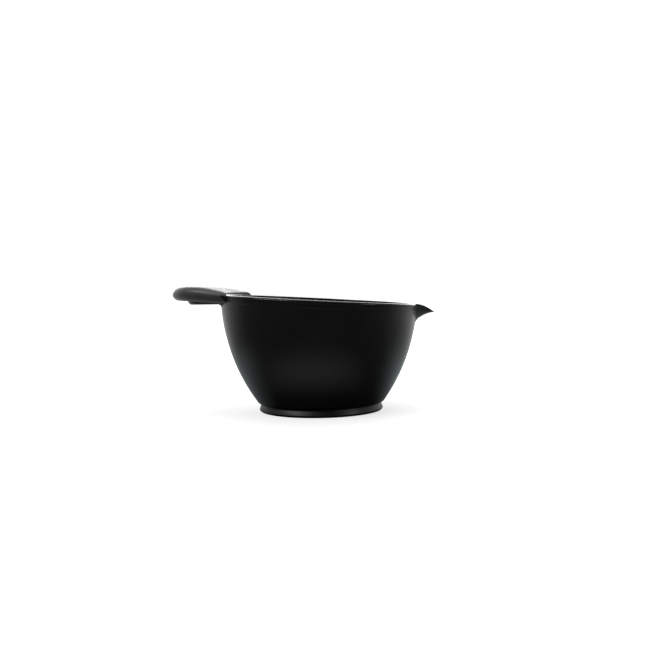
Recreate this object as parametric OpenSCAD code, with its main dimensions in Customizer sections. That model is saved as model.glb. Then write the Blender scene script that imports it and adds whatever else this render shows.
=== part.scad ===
// Hair colour mixing bowl: a moulded bowl with a pouring beak and a lug handle,
// a soft grip over the lug and a rubber ring under the foot.
// Origin on the table at the bowl's axis, +Z up, handle towards -X, beak towards +X.

/* [Bowl] */
// Outside radius of the rim's lip
rim_r = 62.6; // [52:0.1:76]
// Height of the rim's top above the table, on the bowl's axis
bowl_h = 70.4; // [58:0.1:86]
// Slope of the rim in degrees, high at the handle and low at the beak
rim_slope = 3.8; // [0:0.1:6]
// Outside radius of the wall where it ends above the base ring
base_r = 39.9; // [36:0.5:46]
// Thickness of the wall
wall = 2.2; // [1.6:0.02:3]
// Thickness of the floor
floor_t = 2.4; // [1.8:0.1:3.6]
// Inside corner radius between the floor and the wall
floor_fillet = 12; // [6:1:16]

/* [Rim] */
// How far the lip stands out of the wall
lip_out = 0.5; // [0.3:0.1:1.6]
// Height of the lip
lip_h = 2.4; // [1.8:0.1:3.2]
// Height of the collar band under the lip
collar_h = 3.2; // [1:0.1:6]
// How far the collar stands out of the wall
collar_out = 0.25; // [0.15:0.05:0.6]

/* [Beak] */
// How far the beak's tip stands out of the rim
beak_reach = 9.8; // [7:0.1:15]
// Half width of the beak where it leaves the rim
beak_w = 10.8; // [7:0.1:16]
// How far the tip lies below the rim
beak_drop = 4.6; // [2:0.1:7]
// Depth of the beak at its root
beak_depth = 9.1; // [7:0.1:13]
// Thickness of the beak's walls at its root
beak_wall = 1.8; // [1.4:0.1:2.4]

/* [Handle] */
// How far the handle reaches out of the rim
handle_reach = 31.7; // [26:0.1:42]
// Half width of the handle at the rim
handle_w = 35.5; // [29:0.1:43]
// Height of the handle's edge at the rim, from its underside to its top
root_t = 7; // [6:0.1:9]
// Height of the handle's edge at its tip
tip_t = 5.1; // [3.6:0.1:6.4]
// How far the grip stands above the rim at its root
root_step = 2.2; // [1.4:0.1:3]
// How far the handle's arch rises from its root to its crest
arch_rise = 3.2; // [1:0.1:6]
// How far the arch falls from its crest to its tip
arch_fall = 2.4; // [0:0.1:4]
// Crown of the handle's top across its width
crown = 0.7; // [0:0.1:1.5]
// Thickness of the soft grip over the handle's core
grip_skin = 2.2; // [1.6:0.1:3]
// How far the core's bare underside is set in from the handle's edge
pad_inset = 9.4; // [7:0.1:14]
// Height of the bare underside below the rim
pad_drop = 6; // [5:0.1:9]
// Radius of the fillet between the bare underside and the wall
pad_fillet = 2.6; // [1:0.1:4]

/* [Base ring] */
// Largest outside radius of the rubber ring
ring_r = 39.3; // [32:0.05:47]
// Height of the rubber ring
ring_h = 5; // [3.6:0.1:7]
// Thickness of the rubber under the foot
ring_floor = 1.4; // [1:0.1:2]
// How far the ring's side leans in from its widest part to its top
ring_lean = 1.4; // [0.6:0.1:2]
// Thickness of the rubber outside the foot, at the ring's top
ring_skin = 1.7; // [1.2:0.1:2.4]
// Thickness of the foot's wall
foot_wall = 2.7; // [2:0.1:3.4]
// Clearance between the ring and the foot's sides
ring_gap = 0.05; // [0.03:0.01:0.12]

/* [Hidden] */
$fn = 96;

// The wall's outside is one arc: it stands upright a little above the rim
// and comes in to base_r at the foot.
slope_t = tan(rim_slope);
wall_r = rim_r - lip_out;
upright_z = bowl_h + 2.8;
base_z = ring_h + 0.3;
arc_r = (pow(wall_r - base_r, 2) + pow(upright_z - base_z, 2)) / (2 * (wall_r - base_r));
arc_x = wall_r - arc_r;
inner_r = wall_r - wall;
sky = upright_z + 30;

// Floor and foot
recess_z = base_z - 1;
floor_z = recess_z + floor_t;
foot_r = ring_r - ring_lean - ring_skin;
foot_in = foot_r - foot_wall;

// Height of the rim's top at a distance x along the bowl
function rim_z(x) = bowl_h - slope_t * x;

// Inside of the bowl: the wall's arc less the wall, with a round corner at the floor.
// The corner's circle is let into the arc by corner_bite so that the two cross cleanly.
corner_bite = 0.02;
in_arc = arc_r - wall;
corner_z = floor_z + floor_fillet;
corner_x = arc_x + sqrt(pow(in_arc - floor_fillet, 2) - pow(upright_z - corner_z, 2)) + corner_bite;
meet_z = upright_z - (upright_z - corner_z) * in_arc / (in_arc - floor_fillet);

module arc_side(r, low_z)
    intersection() {
        translate([arc_x, upright_z]) circle(r = r, $fn = 360);
        translate([0, low_z]) square([rim_r + 10, sky - low_z]);
    }

module hollow()
    rotate_extrude($fn = 180) {
        arc_side(in_arc, meet_z);
        translate([0, upright_z]) square([inner_r, sky - upright_z]);
        translate([0, floor_z]) square([corner_x, floor_fillet]);
        translate([corner_x, corner_z]) circle(r = floor_fillet);
    }

// Places its children on the rim's sloping plane, with z = 0 at the rim's top
module on_rim()
    translate([0, 0, bowl_h]) rotate([0, rim_slope, 0]) children();

// Everything above the rim's sloping plane, lowered by drop
module above_rim(drop)
    on_rim() translate([-rim_r * 2, -rim_r * 2, -drop]) cube([rim_r * 4, rim_r * 4, sky]);

module wall_solid()
    difference() {
        rotate_extrude($fn = 180) {
            arc_side(arc_r, base_z);
            translate([0, ring_floor]) square([foot_r, base_z - ring_floor + 0.5]);
        }
        above_rim(lip_h / 2);
    }

// Lip, round outside and chamfered inside, and the thin collar below it,
// both in the rim's sloping plane. The hollow trims the lip's inner side.
lip_w = wall + lip_out;
lip_chamfer = 0.7;
module lip()
    on_rim()
        rotate_extrude($fn = 180) {
            translate([rim_r - lip_h / 2, -lip_h / 2]) circle(d = lip_h, $fn = 48);
            polygon([
                [rim_r - lip_h / 2, 0],
                [inner_r + lip_chamfer, 0],
                [inner_r - 1, -lip_chamfer - 1],
                [inner_r - 1, -lip_h],
                [rim_r - lip_h / 2, -lip_h]
            ]);
        }

// The collar's foot is a cone that starts inside the wall, so it meets the wall in one clean line
collar_in = (wall + collar_out) / 2;
module collar()
    on_rim()
        translate([0, 0, -lip_h / 2 - collar_h])
            rotate_extrude($fn = 180)
                polygon([
                    [wall_r + collar_out - collar_in, -collar_in],
                    [wall_r + collar_out, 0],
                    [wall_r + collar_out, collar_h],
                    [wall_r + collar_out - collar_in, collar_h]
                ]);

// Beak: a loft of rounded V sections from inside the wall to the tip.
// t is 0 where the beak leaves the rim and 1 at its tip.
BEAK_STEPS = 14;
V_STEPS = 9;
V_POWER = 1.6;
beak_in = 6;
tip_w = 1.5;
tip_wall = 0.8;
beak_sink = 0.25;
beak_x0 = rim_r - beak_in;
function beak_x(t) = rim_r + beak_reach * t;
function beak_top(t) =
    rim_z(min(beak_x(t), rim_r)) - beak_sink - (beak_drop - beak_sink) * pow(max(t, 0), 1.5);
function beak_low(t) =
    let (tip_low = rim_z(rim_r) - beak_drop - tip_wall,
         root_low = rim_z(rim_r) - beak_depth)
    tip_low - (tip_low - root_low) * (t > 0 ? pow(1 - t, 1.8) : 1 - 2.5 * t);
function beak_half(t) = t > 0 ? tip_w + (beak_w - tip_w) * pow(1 - t, 1.15) : beak_w - 3 * t;
function beak_skin(t) = beak_wall - (beak_wall - tip_wall) * max(t, 0);

// A section's points, from one top corner down through the keel to the other
function beak_section(t, inset, top) =
    let (half = max(beak_half(t) - inset * beak_skin(t), 0.3),
         low = beak_low(t) + inset * beak_skin(t))
    concat(
        [for (j = [-V_STEPS : V_STEPS])
            let (s = j / V_STEPS)
            [beak_x(t), half * s, low + (beak_top(t) - low) * pow(abs(s), V_POWER)]],
        top > 0 ? [[beak_x(t), half, sky], [beak_x(t), -half, sky]] : []);

// Joins equal rings of points into a closed solid
module loft(rings) {
    n = len(rings[0]);
    last = len(rings) - 1;
    polyhedron(
        points = [for (ring = rings) each ring],
        faces = concat(
            [[for (j = [0 : n - 1]) j]],
            [for (i = [0 : last - 1], j = [0 : n - 1])
                each [
                    [i * n + j, (i + 1) * n + j, (i + 1) * n + (j + 1) % n],
                    [i * n + j, (i + 1) * n + (j + 1) % n, i * n + (j + 1) % n]
                ]],
            [[for (j = [n - 1 : -1 : 0]) last * n + j]]));
}

beak_t0 = -beak_in / beak_reach;
function beak_t(i) = beak_t0 + (1 - beak_t0) * i / BEAK_STEPS;

module beak() loft([for (i = [0 : BEAK_STEPS]) beak_section(beak_t(i), 0, 0)]);

module beak_channel() loft([for (i = [0 : BEAK_STEPS]) beak_section(beak_t(i), 1, 1)]);

// Handle: half of a rounded pad, cut at handle_x, with a bullnose edge all round.
// s runs from 0 at the rim to 1 at the tip, measured out from the bowl's axis,
// and stays level inside the wall. The handle's sides cross the rim at root_x, and its
// form starts root_in inside the rim, where the hollow cuts it away.
EDGE_STEPS = 40;
NOSE_STEPS = 8;
TOP_STEPS = 9;
OUTLINE_POWER = 2.3;
CREST = 0.62;
grip_x = -(rim_r - lip_w);
root_x = -sqrt(pow(rim_r, 2) - pow(handle_w, 2));
root_in = 5.2;
handle_x = -sqrt(pow(rim_r - root_in, 2) - pow(handle_w, 2));
tip_x = -(rim_r + handle_reach);
function along(x, y) = max((norm([x, y]) - rim_r) / handle_reach, -0.1);
root_top = rim_z(root_x) + root_step;
function arch(s) =
    s < CREST
    ? arch_rise * (1 - pow(1 - s / CREST, 2))
    : arch_rise - arch_fall * pow((s - CREST) / (1 - CREST), 2);
function handle_top(x, y) =
    let (s = along(x, y))
    root_top + arch(s) + crown * max(min(s * 3, 1), 0) * (1 - pow(y / handle_w, 2));
function handle_low(x, y) =
    root_top - root_t + (arch(1) + root_t - tip_t) * along(x, y);

// Outline of the half pad at an inset, as a superellipse from one root corner to the other
function outline(inset) =
    let (a = handle_x - tip_x - inset, b = handle_w - inset)
    [for (k = [0 : EDGE_STEPS])
        let (u = 90 + 180 * k / EDGE_STEPS)
        [handle_x - a * pow(abs(cos(u)), 2 / OUTLINE_POWER),
         (u <= 180 ? 1 : -1) * b * pow(abs(sin(u)), 2 / OUTLINE_POWER)]];

// One closed pad, from rings of [inset, height from 0 at its low side to 1 at its top];
// low and top are functions of x and y
module half_pad(rings, low, top) {
    n = EDGE_STEPS + 1;
    last = len(rings) - 1;
    function place(p, h) =
        [p[0], p[1], low(p[0], p[1]) * (1 - h) + top(p[0], p[1]) * h];
    ends = [place([handle_x, 0], 0), place([handle_x, 0], 1)];
    polyhedron(
        points = concat(
            [for (ring = rings) each [for (p = outline(ring[0])) place(p, ring[1])]],
            ends),
        faces = concat(
            [for (i = [0 : last - 1], k = [0 : n - 2])
                each [
                    [i * n + k, (i + 1) * n + k, (i + 1) * n + k + 1],
                    [i * n + k, (i + 1) * n + k + 1, i * n + k + 1]
                ]],
            [for (k = [0 : n - 2]) [k, k + 1, (last + 1) * n]],
            [for (k = [0 : n - 2]) [last * n + k + 1, last * n + k, (last + 1) * n + 1]],
            [concat(
                [(last + 1) * n],
                [for (i = [0 : last]) i * n + n - 1],
                [(last + 1) * n + 1],
                [for (i = [last : -1 : 0]) i * n])]));
}

// Rings for an edge rounded from the low side up to the top, then across the top
function bullnose(inset, r, reach) = concat(
    [for (i = [0 : NOSE_STEPS])
        let (a = -90 + 180 * i / NOSE_STEPS)
        [inset + r * (1 - cos(a)), (1 + sin(a)) / 2]],
    [for (i = [1 : TOP_STEPS]) [inset + r + (reach - r - inset) * i / (TOP_STEPS + 1), 1]]);

nose_r = 3.4;
module handle_form()
    half_pad(
        bullnose(0, nose_r, handle_w),
        function(x, y) handle_low(x, y),
        function(x, y) handle_top(x, y));

// The core's tongue: the same form, smaller all round by the grip's thickness,
// with its top sunk enough to end against the lip's side
tongue_sink = root_step + 0.7;
module tongue()
    half_pad(
        bullnose(grip_skin, nose_r - grip_skin / 2, handle_w),
        function(x, y) handle_low(x, y) + grip_skin,
        function(x, y) handle_top(x, y) - tongue_sink);

// The bare underside: a pad that comes down out of the tongue, round at its low edge
pad_round = 2.4;
pad_z = rim_z(grip_x) - pad_drop;
pad_top = root_top - root_step - 0.45;
module underside_pad()
    half_pad(
        concat(
            [for (i = [0 : 4])
                let (a = 90 * i / 4)
                [pad_inset + pad_round * (1 - sin(a)), pad_round * (1 - cos(a)) / (pad_top - pad_z)]],
            [[pad_inset, 1]]),
        function(x, y) pad_z,
        function(x, y) pad_top);

// Fillet between the bare underside and the wall, under the pad only.
// Its circle is let into both faces by fillet_bite so that it crosses them cleanly.
fillet_bite = 0.15;
function wall_at(z) = arc_x + sqrt(pow(arc_r, 2) - pow(upright_z - z, 2));
fillet_z = pad_z - pad_fillet + fillet_bite;
fillet_x = wall_at(fillet_z) + pad_fillet - fillet_bite;
module pad_fillet_ring()
    intersection() {
        rotate_extrude($fn = 180)
            difference() {
                translate([fillet_x - pad_fillet - 1.5, fillet_z])
                    square([pad_fillet + 1.5, pad_fillet + 0.5]);
                translate([fillet_x, fillet_z]) circle(r = pad_fillet, $fn = 64);
            }
        translate([-rim_r - 10, -(handle_w - pad_inset - 3), 0])
            cube([20, (handle_w - pad_inset - 3) * 2, sky]);
    }

// Side view of the bowl's shoulder at the handle's root: right of a slanting seam, below the rim
seam_low = [root_x + 1.5, root_top - root_t];
seam_top = [root_x - 4.3, rim_z(root_x - 4.3) - 0.8];
seam_end = handle_x + 5;
module seam_side()
    rotate([90, 0, 0])
        translate([0, 0, -rim_r])
            linear_extrude(rim_r * 2)
                polygon([
                    seam_low,
                    seam_top,
                    [seam_end, rim_z(seam_end) - 0.8],
                    [seam_end, seam_low[1] - 10],
                    [seam_low[0], seam_low[1] - 10]
                ]);

module shoulder()
    intersection() {
        handle_form();
        seam_side();
    }

module bowl_shape() {
    wall_solid();
    lip();
    collar();
}

module handle_core() {
    tongue();
    underside_pad();
    pad_fillet_ring();
}

module bowl()
    color([0.055, 0.053, 0.056])
        difference() {
            union() {
                bowl_shape();
                beak();
                handle_core();
                shoulder();
            }
            hollow();
            beak_channel();
            translate([0, 0, -1]) cylinder(r = foot_in, h = recess_z + 1, $fn = 180);
        }

module base_ring()
    color([0.12, 0.12, 0.12])
        rotate_extrude($fn = 180)
            polygon([
                [ring_r - 0.8, 0],
                [ring_r, 0.9],
                [ring_r, 1.4],
                [ring_r - ring_lean, ring_h],
                [foot_r + ring_gap, ring_h],
                [foot_r + ring_gap, ring_floor],
                [foot_in - ring_gap, ring_floor],
                [foot_in - ring_gap, ring_h - 1.2],
                [foot_in - 1.4, ring_h - 1.5],
                [foot_in - 1.4, 0.5],
                [foot_in - 0.9, 0]
            ]);

// Space inside the grip's end, which stands on the outer side of the lip
module grip_end()
    on_rim() translate([0, 0, -lip_h / 2 - 0.3]) cylinder(r = rim_r - 0.4, h = 20, $fn = 180);

module handle_grip()
    color([0.09, 0.09, 0.095])
        difference() {
            handle_form();
            bowl_shape();
            handle_core();
            seam_side();
            grip_end();
        }

bowl();
base_ring();
handle_grip();
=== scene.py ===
"""Looks of a salon tint bowl: a moulded bowl with a beak, a soft grip on its lug, a rubber ring.

Sizes are in millimetres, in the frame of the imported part: origin on the table at the bowl's axis,
+Z up, handle towards -X, beak towards +X. Meshes are built in metres.
"""

import logging
import math
from collections.abc import Callable, Iterator
from contextlib import contextmanager
from dataclasses import dataclass
from enum import Enum

import bpy
import numpy as np
from mathutils import Matrix, Vector


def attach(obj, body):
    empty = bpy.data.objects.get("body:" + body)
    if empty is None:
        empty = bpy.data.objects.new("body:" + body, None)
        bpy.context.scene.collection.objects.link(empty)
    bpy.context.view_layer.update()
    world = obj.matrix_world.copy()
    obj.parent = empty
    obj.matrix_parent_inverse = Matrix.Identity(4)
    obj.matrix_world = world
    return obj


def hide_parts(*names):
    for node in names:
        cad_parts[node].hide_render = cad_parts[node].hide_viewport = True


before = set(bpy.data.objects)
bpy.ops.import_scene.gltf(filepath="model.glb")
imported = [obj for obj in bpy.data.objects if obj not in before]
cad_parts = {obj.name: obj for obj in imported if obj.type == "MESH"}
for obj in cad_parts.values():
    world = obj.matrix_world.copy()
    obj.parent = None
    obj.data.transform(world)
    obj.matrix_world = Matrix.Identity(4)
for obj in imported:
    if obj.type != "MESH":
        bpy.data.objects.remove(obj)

LOG = logging.getLogger("tint_bowl")
MM = 0.001
MERGE_GAP = 2e-6
HALVINGS = 40
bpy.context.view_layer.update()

Piece = bpy.types.Object
Tree = bpy.types.NodeTree
Socket = bpy.types.NodeSocket


class Slot(Enum):
    """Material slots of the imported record."""

    BOWL = "bowl"
    RING = "base_ring"
    GRIP = "handle_grip"


class Solve(Enum):
    """How one closed solid acts on another."""

    CUT = "DIFFERENCE"
    KEEP_COMMON = "INTERSECT"


# ---------------------------------------------------------------- bench: general modelling steps


def pick(piece: Piece | None = None) -> None:
    """Deselects everything, then selects and activates a piece.

    Args:
        piece: The object to work on, or nothing before a new one is added.
    """
    bpy.ops.object.select_all(action="DESELECT")
    if piece:
        piece.select_set(True)
        bpy.context.view_layer.objects.active = piece


@contextmanager
def edit_mode(piece: Piece) -> Iterator[None]:
    """Opens one piece for editing, with everything else deselected.

    Args:
        piece: The object to edit.
    """
    pick(piece)
    bpy.ops.object.mode_set(mode="EDIT")
    yield
    bpy.ops.object.mode_set(mode="OBJECT")


def close_up(piece: Piece) -> None:
    """Merges doubled vertices and turns every face outwards.

    Args:
        piece: The object to clean.
    """
    with edit_mode(piece):
        bpy.ops.mesh.select_all(action="SELECT")
        bpy.ops.mesh.remove_doubles(threshold=MERGE_GAP)
        bpy.ops.mesh.normals_make_consistent(inside=False)


def spun(name: str, line: np.ndarray, steps: int) -> Piece:
    """Draws a profile by extruding one vertex along it, then spins it about the Z axis.

    Args:
        name: Name of the new piece.
        line: Stations of the profile as rows of radius and height, in millimetres.
        steps: Number of columns round the axis.

    Returns:
        The closed piece.
    """
    pick()
    bpy.ops.mesh.primitive_plane_add(size=MM)
    piece = bpy.context.object
    piece.name = name
    moves = np.diff(line, axis=0) * MM
    with edit_mode(piece):
        bpy.ops.mesh.select_all(action="SELECT")
        bpy.ops.mesh.merge(type="CENTER")
        bpy.ops.transform.translate(value=(line[0, 0] * MM, 0, line[0, 1] * MM))
        for out, up in moves:
            bpy.ops.mesh.extrude_region_move(TRANSFORM_OT_translate={"value": (out, 0, up)})
        bpy.ops.mesh.select_all(action="SELECT")
        bpy.ops.mesh.spin(steps=steps, angle=math.tau, center=(0, 0, 0), axis=(0, 0, 1))
    close_up(piece)
    return piece


def vertex_places(piece: Piece) -> np.ndarray:
    """Reads a piece's vertices.

    Args:
        piece: The object to read.

    Returns:
        One row of x, y and z for each vertex, in metres.
    """
    places = np.empty(len(piece.data.vertices) * 3)
    piece.data.vertices.foreach_get("co", places)
    return places.reshape(-1, 3)


def move_vertices(piece: Piece, places: np.ndarray) -> None:
    """Moves a piece's vertices.

    Args:
        piece: The object to shape.
        places: The new place of each vertex, in metres.
    """
    piece.data.vertices.foreach_set("co", places.astype(np.float32).ravel())
    piece.data.update()


def reshape_columns(
    piece: Piece,
    line: np.ndarray,
    steps: int,
    turn_of: Callable[[float], float],
    column: Callable[[float], np.ndarray],
) -> None:
    """Moves each column of a spun piece to its own angle and onto its own profile.

    Args:
        piece: A piece that spun() made.
        line: The profile that it was spun from.
        steps: The number of columns that it was spun in.
        turn_of: Gives a column's angle from the angle at which it was spun.
        column: Gives the profile at an angle, with as many stations as line.
    """
    places = vertex_places(piece)
    flat = np.hypot(places[:, 0], places[:, 1]) / MM
    turns = np.arctan2(places[:, 1], places[:, 0]) / math.tau
    spun_at = np.round(turns * steps).astype(int) % steps
    aside, above = flat[:, None] - line[None, :, 0], places[:, 2:] / MM - line[None, :, 1]
    station = np.argmin(aside**2 + above**2, axis=1)
    for step in range(steps):
        spun_angle = math.remainder(step / steps * math.tau, math.tau)
        angle = turn_of(spun_angle)
        here = np.nonzero(spun_at == step)[0]
        shape = column(angle)[station[here]] * MM
        places[here, 0] = shape[:, 0] * math.cos(angle)
        places[here, 1] = shape[:, 0] * math.sin(angle)
        places[here, 2] = shape[:, 1]
    move_vertices(piece, places)
    close_up(piece)


def skinned(name: str, rows: np.ndarray) -> Piece:
    """Lays a grid over rows of points, merges its seams and caps each open end.

    Args:
        name: Name of the new piece.
        rows: Array of rows by points by x, y and z, in millimetres.

    Returns:
        The closed piece.
    """
    across, along = rows.shape[:2]
    pick()
    bpy.ops.mesh.primitive_grid_add(x_subdivisions=along - 1, y_subdivisions=across - 1, size=2)
    piece = bpy.context.object
    piece.name = name
    flat = vertex_places(piece)
    point = np.round((flat[:, 0] + 1) / 2 * (along - 1)).astype(int)
    row = np.round((flat[:, 1] + 1) / 2 * (across - 1)).astype(int)
    move_vertices(piece, rows[row, point] * MM)
    with edit_mode(piece):
        bpy.ops.mesh.select_all(action="SELECT")
        bpy.ops.mesh.remove_doubles(threshold=MERGE_GAP)
        bpy.ops.mesh.fill_holes(sides=0)
    close_up(piece)
    return piece


def apply_modifier(piece: Piece, kind: str, **settings: object) -> None:
    """Adds one modifier to a piece and applies it.

    Args:
        piece: The object to change.
        kind: Blender's name for the modifier.
        **settings: Its settings.
    """
    modifier = piece.modifiers.new(kind.lower(), kind)
    for key, value in settings.items():
        setattr(modifier, key, value)
    pick(piece)
    bpy.ops.object.modifier_apply(modifier=modifier.name)


def combine(piece: Piece, tool: Piece, solve: Solve) -> None:
    """Cuts a piece with a tool, or keeps what they share, and throws the tool away.

    Args:
        piece: The object to change.
        tool: A closed solid.
        solve: What the tool does to the piece.
    """
    apply_modifier(piece, "BOOLEAN", object=tool, operation=solve.value, solver="EXACT")
    bpy.data.meshes.remove(tool.data)


def smooth_faces(piece: Piece, sharp_from: float) -> None:
    """Shades a piece smooth, apart from edges that turn by more than an angle.

    Args:
        piece: The object to shade.
        sharp_from: The angle in degrees from which an edge stays sharp.
    """
    pick(piece)
    bpy.ops.object.shade_smooth_by_angle(angle=math.radians(sharp_from))


def smooth_max(a: np.ndarray, b: np.ndarray, blend: float) -> np.ndarray:
    """The larger of two values, with the change from one to the other rounded.

    Args:
        a: First values.
        b: Second values.
        blend: How near the two have to be before the rounding starts.

    Returns:
        The blended values.
    """
    near = np.maximum(blend - np.abs(a - b), 0) / blend
    return np.maximum(a, b) + near * near * blend / 4


def halved(near: float, far: float, inside: Callable[[float], bool]) -> float:
    """Finds the last place that is inside something, by halving.

    Args:
        near: A place inside.
        far: A place outside.
        inside: Tells whether a place is inside.

    Returns:
        The place.
    """
    for _ in range(HALVINGS):
        middle = (near + far) / 2
        near, far = (middle, far) if inside(middle) else (near, middle)
    return near


def arc(
    middle: tuple[float, float], radius: float, start: float, end: float, steps: int
) -> np.ndarray:
    """Points along an arc of a circle.

    Args:
        middle: Centre as radius and height.
        radius: Radius of the arc.
        start: First angle in degrees, counted from the outward direction.
        end: Last angle in degrees.
        steps: Number of points.

    Returns:
        Rows of radius and height.
    """
    turns = np.radians(np.linspace(start, end, steps))
    return np.array(middle) + radius * np.column_stack([np.cos(turns), np.sin(turns)])


# ---------------------------------------------------------------- the bowl


@dataclass
class BowlShell:
    """The moulded bowl: wall, lip, collar, beak, floor and foot, as one closed skin."""

    rim_r: float = 62.6
    height: float = 70.4
    slope: float = math.tan(math.radians(3.8))
    base_r: float = 39.9
    wall: float = 2.2
    floor_t: float = 2.4
    corner_r: float = 12.0
    lip_out: float = 0.5
    lip_r: float = 1.2
    inner_round: float = 0.7
    collar_low: float = 4.6
    collar_out: float = 0.25
    collar_soft: float = 0.3
    upright_over: float = 2.8
    base_z: float = 5.3
    base_round: float = 0.4
    foot_r: float = 36.2
    foot_in: float = 33.5
    foot_low: float = 1.4
    recess_z: float = 4.3
    beak_reach: float = 9.8
    beak_w: float = 10.8
    beak_tip_w: float = 1.5
    beak_drop: float = 4.6
    beak_depth: float = 9.1
    beak_skin: float = 1.8
    beak_tip_skin: float = 0.8
    beak_power: float = 1.6
    beak_blend: float = 1.6
    beak_round: float = 0.5
    beak_round_share: float = 1.2
    beak_taper: float = 1.15
    beak_splay: float = 3.0
    beak_bow: float = 1.5
    beak_least_half: float = 0.3
    keel_bow: float = 1.8
    keel_rise: float = 2.5
    beak_sector: float = 0.3
    beak_in: float = 6.0
    outline_in: float = 3.0
    lip_blend: float = 0.12
    side_depths: tuple[float, ...] = (3.9, 3.2, 2.6, 2.25, 2.1)
    foot_edge: float = 0.2
    foot_root: float = 0.3
    recess_edge: float = 0.5
    flat_rings: tuple[float, ...] = (0, 0.2, 0.5, 0.8)
    edge_share: float = 0.4
    edge_least: float = 0.2
    collar_ease: float = 0.6
    outer_rows: tuple[int, int, int] = (15, 7, 14)
    inner_rows: tuple[int, int] = (7, 22)
    low_rows: int = 30
    inner_low_rows: int = 24
    corner_rows: int = 13
    columns: int = 336
    plug_columns: int = 180
    plug_rise: float = 12.0
    gather: float = 0.76
    band: float = 12.5
    sharp_from: float = 50.0

    def __post_init__(self) -> None:
        """Works out the wall's arc and the inside corner at the floor."""
        self.wall_r = self.rim_r - self.lip_out
        self.inner_r = self.wall_r - self.wall
        self.upright = self.height + self.upright_over
        rise = self.upright - self.base_z
        lean = self.wall_r - self.base_r
        self.arc_r = (lean**2 + rise**2) / (2 * lean)
        self.arc_x = self.wall_r - self.arc_r
        self.floor_z = self.recess_z + self.floor_t
        self.corner_z = self.floor_z + self.corner_r
        inner_arc = self.arc_r - self.wall
        from_arc = inner_arc - self.corner_r
        self.corner_x = self.arc_x + math.sqrt(from_arc**2 - (self.upright - self.corner_z) ** 2)
        self.meet_turn = -math.degrees(math.asin((self.upright - self.corner_z) / from_arc))
        self.meet_z = self.corner_z + self.corner_r * math.sin(math.radians(self.meet_turn))

    def rim_z(self, x: np.ndarray | float) -> np.ndarray | float:
        """Height of the rim's sloping plane at a distance x along the bowl."""
        return self.height - self.slope * x

    def wall_at(self, z: np.ndarray, inset: float = 0.0) -> np.ndarray:
        """Radius of the wall's arc at a height, less an inset."""
        below = np.maximum(self.upright - z, 0)
        return self.arc_x + np.sqrt((self.arc_r - inset) ** 2 - below**2)

    def beak_half(self, t: np.ndarray) -> np.ndarray:
        """Half width of the beak, t being 0 at the rim and 1 at the tip."""
        out = np.clip(1 - t, 0, 1) ** self.beak_taper
        outside = self.beak_tip_w + (self.beak_w - self.beak_tip_w) * out
        return np.where(t > 0, outside, self.beak_w - self.beak_splay * t)

    def beak_top(self, t: np.ndarray) -> np.ndarray:
        """Height of the beak's upper edge."""
        x = np.minimum(self.rim_r + self.beak_reach * t, self.rim_r)
        return self.rim_z(x) - self.beak_drop * np.maximum(t, 0) ** self.beak_bow

    def beak_low(self, t: np.ndarray) -> np.ndarray:
        """Height of the beak's keel."""
        tip = self.rim_z(self.rim_r) - self.beak_drop - self.beak_tip_skin
        root = self.rim_z(self.rim_r) - self.beak_depth
        out = np.clip(1 - t, 0, 1) ** self.keel_bow
        return tip - (tip - root) * np.where(t > 0, out, 1 - self.keel_rise * t)

    def skin(self, t: np.ndarray) -> np.ndarray:
        """Thickness of the beak's walls."""
        return self.beak_skin - (self.beak_skin - self.beak_tip_skin) * np.maximum(t, 0)

    def trough_z(self, angle: float, radius: np.ndarray, inset: float) -> np.ndarray:
        """Height of the beak's V-shaped trough at a radius.

        Args:
            angle: The column's angle about the bowl's axis.
            radius: Radii to look at.
            inset: 0 for the outside of the beak's walls, 1 for the inside.

        Returns:
            The heights, which rise past the beak's top outside its outline.
        """
        t = (radius * math.cos(angle) - self.rim_r) / self.beak_reach
        half = self.beak_half(t) - inset * self.skin(t)
        low = self.beak_low(t) + inset * self.skin(t)
        side = np.abs(radius * math.sin(angle)) / np.maximum(half, self.beak_least_half)
        return low + (self.beak_top(t) - low) * side**self.beak_power

    def trough_r(self, angle: float, z: np.ndarray, inset: float) -> np.ndarray:
        """Radius at which the beak's trough reaches a height, found by halving.

        Args:
            angle: The column's angle about the bowl's axis.
            z: Heights to look at.
            inset: 0 for the outside of the beak's walls, 1 for the inside.

        Returns:
            The radii.
        """
        near = np.full_like(z, self.rim_r - self.beak_in)
        tip = (self.rim_r + self.beak_reach) / math.cos(angle)
        far = np.full_like(z, tip)
        for _ in range(HALVINGS):
            middle = (near + far) / 2
            above = self.trough_z(angle, middle, inset) > z
            far = np.where(above, middle, far)
            near = np.where(above, near, middle)
        return near

    def edge(self, angle: float) -> tuple[float, float]:
        """Outline of the rim and beak seen from above.

        Args:
            angle: The column's angle about the bowl's axis.

        Returns:
            The outline's radius and the height of the top there.
        """

        def inside(reach: float) -> bool:
            """Whether a radius is inside the beak's outline."""
            t = (reach * math.cos(angle) - self.rim_r) / self.beak_reach
            return reach * abs(math.sin(angle)) < float(self.beak_half(np.array(t)))

        radius = self.rim_r
        if abs(angle) < self.beak_sector:
            tip = (self.rim_r + self.beak_reach) / math.cos(angle)
            radius = max(radius, halved(self.rim_r - self.outline_in, tip, inside))
        t = (radius * math.cos(angle) - self.rim_r) / self.beak_reach
        if t < 0:
            return radius, float(self.rim_z(radius * math.cos(angle)))
        return radius, float(self.beak_top(np.array(t)))

    def outer_depths(self) -> np.ndarray:
        """Depths below the rim's top of the stations outside, from deep to shallow."""
        wall_rows, collar_rows, lip_rows = self.outer_rows
        wall = np.linspace(self.band, self.collar_low + self.collar_ease, wall_rows)
        collar = self.collar_low + self.collar_soft * np.linspace(1, -1, collar_rows)
        off_lip = self.wall_r + self.collar_out - self.rim_r + self.lip_r
        start = math.degrees(math.acos(off_lip / self.lip_r))
        lip = self.lip_r * (1 - np.sin(np.radians(np.linspace(-start, 90, lip_rows))))
        return np.concatenate([wall, collar, self.side_depths, lip])

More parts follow.
